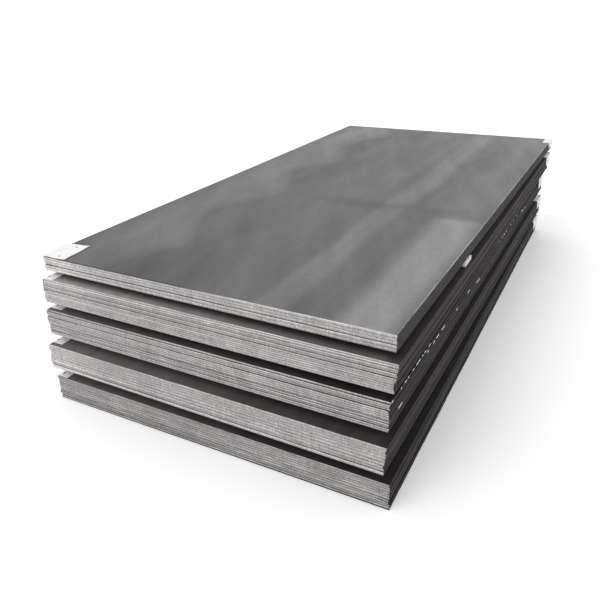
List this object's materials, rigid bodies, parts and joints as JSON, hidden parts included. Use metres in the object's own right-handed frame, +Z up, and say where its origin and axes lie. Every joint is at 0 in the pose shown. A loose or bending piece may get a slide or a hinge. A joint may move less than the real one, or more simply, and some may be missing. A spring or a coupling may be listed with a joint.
{
  "type": "stack of steel plate packs",
  "caption": "Yard stack of rolled steel plates in packs, laid on planed timber spacers that leave room for forks and slings, with blank paper tags at the corners.",
  "frame": {"origin": "on the floor, under the middle of the bounding box of the stack", "axes": "+X along the short edges of the plates, to the right, +Y along their long edges, to the rear, +Z up"},
  "size_m": [1.5454, 3.0874, 0.6292],
  "materials": {
    "mill_steel": "hot rolled plate with a thin even mill scale on its faces and bright sheared edges",
    "planed_timber": "planed softwood, pale",
    "tag_paper": "matt white card, blank"
  },
  "bodies": {
    "root": {"pack_1": "mill_steel", "pack_2": "mill_steel", "pack_3": "mill_steel", "pack_4": "mill_steel", "pack_5_plate_1": "mill_steel", "pack_5_plate_2": "mill_steel", "pack_5_plate_3": "mill_steel", "pack_5_plate_4": "mill_steel", "pack_5_plate_5": "mill_steel", "spacer_1_front": "planed_timber", "spacer_1_middle": "planed_timber", "spacer_1_rear": "planed_timber", "spacer_2_front": "planed_timber", "spacer_2_middle": "planed_timber", "spacer_2_rear": "planed_timber", "spacer_3_front": "planed_timber", "spacer_3_middle": "planed_timber", "spacer_3_rear": "planed_timber", "spacer_4_front": "planed_timber", "spacer_4_middle": "planed_timber", "spacer_4_rear": "planed_timber", "tag_1_front": "tag_paper", "tag_1_rear": "tag_paper", "tag_2_front": "tag_paper", "tag_2_rear": "tag_paper", "tag_3_front": "tag_paper", "tag_3_rear": "tag_paper", "tag_4_front": "tag_paper", "tag_4_rear": "tag_paper", "tag_5_front": "tag_paper", "tag_5_rear": "tag_paper"}
  },
  "joints": []
}
